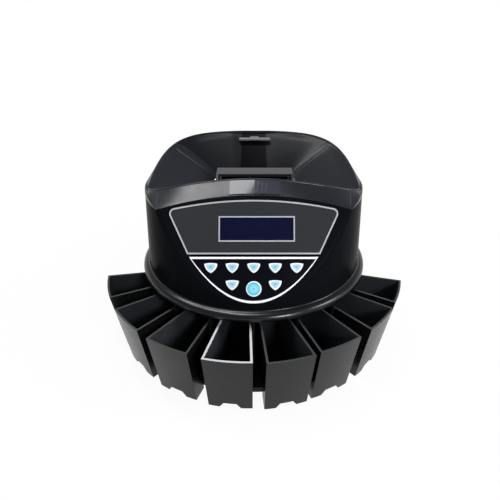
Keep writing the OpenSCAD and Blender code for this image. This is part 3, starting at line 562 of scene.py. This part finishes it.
def key_cap(name, loop, centre, low, top, body, node, paint):
    """A cap with the loop as its outline: each ring is the loop drawn in towards its middle, with
    straight sides from low, a rounded edge and a gently crowned top. The attribute across runs
    from 0 in the middle to 1 at the edge."""
    inward = np.array([0, 0, 0.12, 0.45, 0.9, 1.5, 2.4, 3.6, 99])
    rise = top + np.array([low - top, -0.5, -0.16, -0.02, 0, 0.02, 0.04, 0.06, 0.07])
    middle = loop.mean(0)
    reach = np.hypot(*(loop - middle).T)
    share = np.clip(1 - inward[:, None] / reach[None, :], 0.0, 1)
    flat = middle + share[..., None] * (loop - middle)
    points = on_face(flat[..., 0] + centre[0], flat[..., 1] + centre[1], rise[:, None])
    faces = grid_faces(len(inward), len(loop))
    cap = skin_mesh(name, points, faces, paint, body)
    mark = cap.data.attributes.new("across", "FLOAT", "POINT")
    mark.data.foreach_set("value", share.ravel().astype(np.float32))
    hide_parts(node)
    return cap


# Five shields stand in the upper row and two in the lower one, on each side of the start key.
key_pitch, upper_row, lower_row, start_v = 21.1, 40.7, 23.8, 18.3
shield_w, shield_h, start_r, cap_low, cap_top = 12.8, 9.9, 7.6, -2.8, 1.8
key_spots = [(k * key_pitch, upper_row) for k in (-2, -1, 0, 1, 2)]
key_spots += [(k * key_pitch, lower_row) for k in (-1, 1)]
for i, spot in enumerate(key_spots):
    key_cap(f"shield_{i + 1}", shield_loop(shield_w, shield_h), spot, cap_low, cap_top,
                    f"key_{i + 1}_body", f"key_{i + 1}", shield_paint)
around = np.arange(64) * 2 * np.pi / 64
start_loop = start_r * np.stack([np.cos(around), np.sin(around)], -1)
key_cap("start_cap", start_loop, (0, start_v), cap_low, cap_top, "start_key_body",
                "start_key", start_paint)

# ---------------------------------------------------------------- hopper
# The hopper lifts off: a black funnel moulded in one piece, from a skirt that sits on the drum
# over a rolled rim and down to a rounded oblong throat. Its back panel is painted darker, and
# the latch's recess darker still, as painted shade, and a painted highlight runs down both rear
# corners as a light crease.
# The rim's half width, middle line, lip and back in plan, and the height of the lip's middle; the
# powers of its superellipse behind and in front, and how much its sides bow; how far in and down
# its inner edge lies, and how steeply it climbs behind.
rim_half, rim_yc, lip_y, rim_back, lip_z = 116.2, -15.0, 49.5, 107.3, 200.2
rim_n, front_n, rim_bow = 6.2, 3.0, (0.161, 0.102)
rim_width, rim_step, rim_climb = 3.1, 1.4, 0.22
# The throat's half width, reach, middle line and power, its height, and that of the neck's foot.
throat_half, throat_reach, throat_yc, throat_n = 46, 44.5, 19.5, 14.0
throat_z, neck_z = 163, 112
# The wall's thickness, the gap under the skirt, and how far round the front band goes in degrees;
# half the width of the latch's recess, and how deep it is.
hopper_wall, foot_gap, front_t = 2.5, 0.3, 55.0
recess_x, recess_depth = 19.0, 1.2


def super_ring(t, half, front, back, centre, n):
    """A superellipse round the hopper: x and y are the sine and cosine of t to the power of 2 / n.
    t is 0 in the middle of the front, and front and back are its reach from centre."""
    c, s = np.cos(t), np.sin(t)
    x = half * np.sign(s) * np.abs(s) ** (2 / n)
    y = centre + np.where(c > 0, -front, back) * np.abs(c) ** (2 / n)
    return np.stack([x, y], -1)


def rim_height(x, y):
    """In front the lip falls from its middle to the shoulder with the square of x. Behind it the
    rim climbs evenly to the back."""
    fall = (lip_z - shoulder_z) * (x / rim_half) ** 2
    lip = np.where(y < rim_yc, lip_z - fall, 0)
    return np.maximum(lip, shoulder_z + rim_climb * (y + lip_y / 2))


def rim_plan(t, inset):
    """The rim in plan, moved in by inset: a superellipse, and behind it one with crisper corners
    and bowed sides."""
    behind = np.cos(t) < 0
    half, front, back = rim_half - inset, lip_y + rim_yc - inset, rim_back - rim_yc - inset
    plan = super_ring(t, half, front, back, rim_yc, np.where(behind, rim_n, front_n))
    u, v = plan[:, 0] / half, (plan[:, 1] - rim_yc) / back
    bowed = np.stack([plan[:, 0] * (1 - rim_bow[0] * v ** 2),
                      rim_yc + (plan[:, 1] - rim_yc) * (1 - rim_bow[1] * u ** 2)], -1)
    return np.where(behind[:, None], bowed, plan)


def rim_line(t, inset):
    """The rim moved in by inset, at the height of the rim itself."""
    return np.column_stack([rim_plan(t, inset), rim_height(*rim_plan(t, 0).T)])


def foot_line(t, inset):
    """The foot of the skirt: on the face's arched top edge in front, and elsewhere a circle on
    the drum, whose wall runs straight from its foot to the shoulder. Also the turn of each point
    about the axis and its t in degrees without sign."""
    a = np.abs(np.degrees(t))
    wall_foot_r, wall_foot_z = 126.1, 91.6
    up = (seam_z - wall_foot_z) / (shoulder_z - wall_foot_z)
    seam_r = wall_foot_r + (shoulder_r - wall_foot_r) * up
    start = math.degrees(math.asin(face_half / seam_r))
    turn = np.where(a < 90, start + (a - front_t) * (90 - start) / (90 - front_t), a)
    turn = np.radians(turn) * np.sign(t)
    r, z = seam_r + 0.1 - inset, np.full_like(t, seam_z + foot_gap)
    round_foot = np.stack([r * np.sin(turn), -r * np.cos(turn), z], -1)
    edge = rim_line(np.array([math.radians(front_t)]), 0)[0, 0]
    x = face_half * rim_line(t, 0)[:, 0] / edge
    v = face_len + foot_gap - face_arc + np.sqrt(np.maximum(face_arc ** 2 - x ** 2, 0))
    arc_foot = on_face(x, v, 0 * x) + np.array([0, inset, 0])
    return np.where((a <= front_t)[:, None], arc_foot, round_foot), turn, a


def shoulder_line(t, inset):
    """A little above the foot: part of the way up the band in front, and elsewhere on the
    shoulder's circle, whose height is reached over the first 12 degrees beside the band."""
    foot, turn, a = foot_line(t, inset)
    k = np.clip((a - front_t) / 12, 0, 1)
    r = shoulder_r - inset
    z = seam_z + foot_gap + k * (shoulder_z - seam_z)
    side = np.stack([r * np.sin(turn), -r * np.cos(turn), z], -1)
    band = foot + 0.12 * (rim_line(t, inset) - foot)
    return np.where((a <= front_t)[:, None], band, side)


def panel_line(rim, s):
    """A ring of the inside, s of the way down from the rim to the throat. The plan is a
    superellipse whose corners get crisper just below the rim, its sides bowed so that each
    corner runs straight to the throat's; the latch's recess keeps its width all the way. u and v
    are x and y as shares of the ring's half width and reach, and the rim's own bow is taken out
    of the first ones in a few rounds."""
    half0, front0 = rim_half - rim_width, lip_y + rim_yc - rim_width
    back0 = rim_back - rim_yc - rim_width
    side = np.where(rim[:, 1] < rim_yc, front0, back0)
    u0, v0 = rim[:, 0] / half0, (rim[:, 1] - rim_yc) / side
    behind = v0 > 0
    for _ in range(6):
        u0 = np.where(behind, rim[:, 0] / half0 / (1 - rim_bow[0] * v0 ** 2), u0)
        v0 = np.where(behind, (rim[:, 1] - rim_yc) / side / (1 - rim_bow[1] * u0 ** 2), v0)
    turn = np.arctan2(u0, v0)
    first = np.where(behind, rim_n, front_n)
    crisp = min(1, s / 0.14)
    n = first + (throat_n - first) * crisp * crisp * (3 - 2 * crisp)
    half = half0 + s * (throat_half - half0)
    reach = side + s * (throat_reach - side)
    centre = rim_yc + s * (throat_yc - rim_yc)
    c0, ct, c = 2 ** (-1 / first), 2 ** (-1 / throat_n), 2 ** (-1 / n)
    cx = np.where(behind, c0 * (1 - rim_bow[0] * c0 ** 2), c0)
    cy = np.where(behind, c0 * (1 - rim_bow[1] * c0 ** 2), c0)
    bow_x = (1 - ((1 - s) * half0 * cx + s * throat_half * ct) / (half * c)) / c ** 2
    bow_y = (1 - ((1 - s) * side * cy + s * throat_reach * ct) / (reach * c)) / c ** 2
    far = (np.abs(np.sin(turn)) ** n + np.abs(np.cos(turn)) ** n) ** (-1 / n)
    u, v = np.sin(turn) * far, np.cos(turn) * far
    edge, limit = recess_x * half / half0, 0.8 * half
    x = np.abs(half * u)
    wide = recess_x + (x - edge) * (limit - recess_x) / (limit - edge)
    kept = np.where(np.abs(rim[:, 0]) <= recess_x, np.abs(rim[:, 0]), wide)
    moved = behind & (x < limit)
    u = np.where(moved, np.sign(u) * kept / half, u)
    v = np.where(moved, (1 - np.minimum(np.abs(u), 0.99) ** n) ** (1 / n), v)
    u, v = u * (1 - bow_x * v ** 2), v * (1 - bow_y * u ** 2)
    rim_z = rim_height(rim_half * u, rim_yc + v * (side + rim_width)) - rim_step
    return np.column_stack([half * u, centre + reach * v, (1 - s) * rim_z + s * throat_z])


def between(a, b, shares):
    """Lines part of the way from line a to line b."""
    return [a + s * (b - a) for s in shares]


def neck_line(throat, z, inset):
    """The throat's outline at height z, moved in by inset."""
    share = 1 - inset / throat_half
    return np.column_stack([throat[:, 0] * share, throat_yc + (throat[:, 1] - throat_yc) * share,
                            np.full(len(throat), z)])


def hopper_rings(n=480):
    """The shell as rings from the outer foot over the rim, down the throat and back up inside."""
    t = (np.arange(n) + 0.5) / n * 2 * np.pi
    t = np.where(t > np.pi, t - 2 * np.pi, t)
    w, bead, roll_r = hopper_wall, 1.2, 1.5
    foot, shoulder = foot_line(t, 0)[0], shoulder_line(t, 0)
    rim_out = rim_line(t, 0) - [0, 0, bead]
    roll = [rim_line(t, roll_r - roll_r * math.cos(q)) + [0, 0, bead * math.sin(q) - bead]
            for q in np.radians([25, 50, 75, 100, 125, 150])]
    rim_in = rim_line(t, rim_width) - [0, 0, rim_step]
    panels = [panel_line(rim_in, s) for s in
              (0.015, 0.035, 0.06, 0.09, 0.12, 0.16, 0.2, 0.26, 0.32, 0.4, 0.48, 0.56, 0.64, 0.72,
               0.8, 0.88, 0.95, 1.0)]
    recess = (np.abs(rim_in[:, 0]) < recess_x) & (rim_in[:, 1] > 0)
    for k, ring in enumerate([rim_in] + panels):
        ring[recess, 1] += recess_depth * min(1, k / 2)
    throat = panels[-1]
    neck_top, neck_foot = neck_line(throat, 160.5, 0.25), neck_line(throat, neck_z, 3)
    outside = [neck_line(throat, neck_z, 3 - w), neck_line(throat, 161, -w)]
    under = [panel_line(rim_in, s) * [1.02, 1.02, 1] - [0, 0, 3.0] for s in (0.8, 0.5, 0.2)]
    under += [rim_line(t, w + 2.6) - [0, 0, 5.5], rim_line(t, w + 0.4) - [0, 0, 4.5]]
    skirt = [shoulder_line(t, w), foot_line(t, w)[0]]
    return np.stack([foot, shoulder] + between(shoulder, rim_out, (0.1, 0.35, 0.65, 0.9, 1))
                    + roll + [rim_in] + panels + [neck_top]
                    + between(neck_top, neck_foot, (0.33, 0.66, 1)) + outside + under + skirt)


def face_data(piece):
    """Middle and normal of each face of a piece, as two arrays of points."""
    faces = piece.data.polygons
    middle, normal = np.empty(len(faces) * 3), np.empty(len(faces) * 3)
    faces.foreach_get("center", middle)
    faces.foreach_get("normal", normal)
    return middle.reshape(-1, 3), normal.reshape(-1, 3)


def bowl_paints(shell, columns):
    """Slot of each face: 1 for the back panel, painted darker as shade, 2 for the latch's recess
    in it, painted darker still as shade, 3 for the painted highlight along the crease in both rear
    corners, else 0. A crease is two columns wide and runs from the third ring below the rim to
    the throat."""
    middle, normal = face_data(shell)
    x, y, z = middle.T / mm
    back_panel = (y > 40) & (normal[:, 1] < -0.45) & (normal[:, 2] > 0.2) & (z > 158)
    paint = np.where(back_panel, np.where(np.abs(x) < recess_x, 2, 1), 0)
    row, column = np.divmod(np.arange(len(middle)), columns)
    right_crease, left_crease, crease_top, crease_foot = (159, 160), (324, 325), 16, 30
    in_crease = np.isin(column, right_crease + left_crease)
    # The crease columns take the painted highlight.
    paint[in_crease & (row >= crease_top) & (row <= crease_foot)] = 3
    return paint.astype(np.int32)


hopper_black = plastic("hopper_black", (0.008, 0.009, 0.014), 0.3, depth=0.006, ior=1.45)
# Painted shade: the back panel and the latch's recess are darker copies of the hopper plastic. The
# crease strip is a painted highlight.
back_panel_shade = plastic("back_panel_shade", (0.006, 0.007, 0.009), 0.3, depth=0.006, ior=1.25)
recess_shade = plastic("recess_shade", (0.003, 0.003, 0.004), 0.3, depth=0.006, ior=1.13)
crease_highlight = plastic("crease_highlight", (0.045, 0.045, 0.05), 0.45, depth=0.004)
rings = hopper_rings()
hopper_piece = skin_mesh("hopper_shell", rings, grid_faces(*rings.shape[:2], close_rows=True),
                         hopper_black, "hopper_unit", sharp=38)
for paint in (back_panel_shade, recess_shade, crease_highlight):
    hopper_piece.data.materials.append(paint)
hopper_paint = bowl_paints(hopper_piece, rings.shape[1])
hopper_piece.data.polygons.foreach_set("material_index", hopper_paint)
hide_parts("hopper")

# ---------------------------------------------------------------- plate in the lip
# A blank plate of polished grey plastic is let into the band of the front lip.
plate_grey = plastic("plate_grey", (0.03, 0.032, 0.045), 0.1, depth=0.004, ior=1.4)
finish_nodes(plate_grey, "nameplate")

# ---------------------------------------------------------------- bridge, gate and latch
# A black bridge spans the throat behind the lip and carries the gate's steel pin. A finger tab
# slides inside the back of the rim.
bridge_black = plastic("bridge_black", (0.014, 0.014, 0.018), 0.3)
bevelled("bridge", "gate_bracket", 0.6, bridge_black, "hopper_unit")
finish_nodes(steel, "gate_screws", "gate_pin")
bevelled("gate_flap", "feed_gate", 0.4, keypad_black, "gate")
tab_grey = plastic("tab_grey", (0.22, 0.22, 0.25), 0.25, depth=0.006, ior=1.6)
bevelled("finger_tab", "hopper_latch", 0.8, tab_grey, "latch")

# ---------------------------------------------------------------- coin boxes
# Eight black boxes stand in the bays. Each is a tapered wedge with a curved front that leans
# out to its rim, and a finger notch in the foot of its skirt. The inside is duller than the
# outside and painted lighter, as painted fill light in the hollow. The level rim is painted
# lighter as a painted highlight, and on the fourth box that painted highlight is nearly white.
box_black = plastic("box_black", (0.0045, 0.0047, 0.005), 0.27, depth=0.004, ior=1.35)
# Painted light: the inside is a lighter copy of the box plastic that stands in for fill light in
# the hollow, and both rim colours are painted highlights on the level rim.
box_inside_fill = plastic("box_inside_fill", (0.022, 0.025, 0.030), 0.5, depth=0.004, ior=1.4)
box_rim_highlight = plastic("box_rim_highlight", (0.05, 0.052, 0.056), 0.3, depth=0.003)
pale_rim_highlight = plastic("pale_rim_highlight", (0.62, 0.63, 0.65), 0.3, depth=0.003)


def box_paints(box):
    """Slot of each face: 1 for the level rim at the top, which takes the painted highlight, 2 for
    faces that look into the hollow, which are those whose normal points from the face to the
    box's middle and take the painted fill light, else 0."""
    middle, normal = face_data(box)
    points = np.empty(len(box.data.vertices) * 3)
    box.data.vertices.foreach_get("co", points)
    points = points.reshape(-1, 3)
    heart, top = (points.min(0) + points.max(0)) / 2, points[:, 2].max()
    inward = ((middle - heart)[:, :2] * normal[:, :2]).sum(1) < 0
    level = normal[:, 2] > 0.9
    paint = np.where(inward | level, 2, 0)
    paint[level & (middle[:, 2] > top - 0.5 * mm)] = 1
    return paint.astype(np.int32)


box_count, bright_rim_box = 8, 4
for i in range(1, box_count + 1):
    box = bevelled(f"box_{i}", f"coin_box_{i}", 0.4, box_black, f"box_{i}", sharp=40)
    # The fourth box's rim takes the near-white painted highlight, and the others take a faint one.
    box.data.materials.append(pale_rim_highlight if i == bright_rim_box else box_rim_highlight)
    box.data.materials.append(box_inside_fill)
    box.data.polygons.foreach_set("material_index", box_paints(box))
